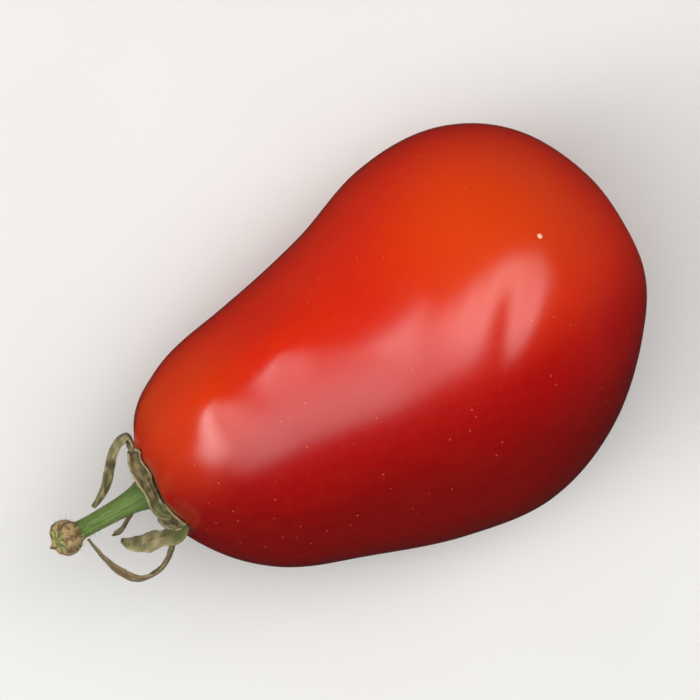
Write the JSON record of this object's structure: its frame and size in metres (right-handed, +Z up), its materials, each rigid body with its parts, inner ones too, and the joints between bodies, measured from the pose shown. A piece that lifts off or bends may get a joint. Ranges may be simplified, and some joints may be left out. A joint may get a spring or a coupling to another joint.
{
  "type": "tomato",
  "caption": "Ripe elongated plum tomato lying on its side, with a dried curled calyx and a short stub of green stalk",
  "frame": {"origin": "the middle of the small flat spot on the underside that the fruit rests on, below its weight", "axes": "+X along the fruit from the stem end to the blossom end, +Z up, +Y to the left when looking along +X"},
  "size_m": [0.1085, 0.0633, 0.0604],
  "materials": {
    "skin": "smooth waxy ripe skin, orange-red above and deeper red below, with fine pale flecks",
    "sepal": "dry grey-green leaf, wrinkled, rolled at the edges",
    "stalk": "fresh green, faintly ribbed and downy, pale corky knuckle"
  },
  "bodies": {
    "root": {"fruit": "skin", "calyx": "sepal", "pedicel": "stalk"}
  },
  "joints": []
}
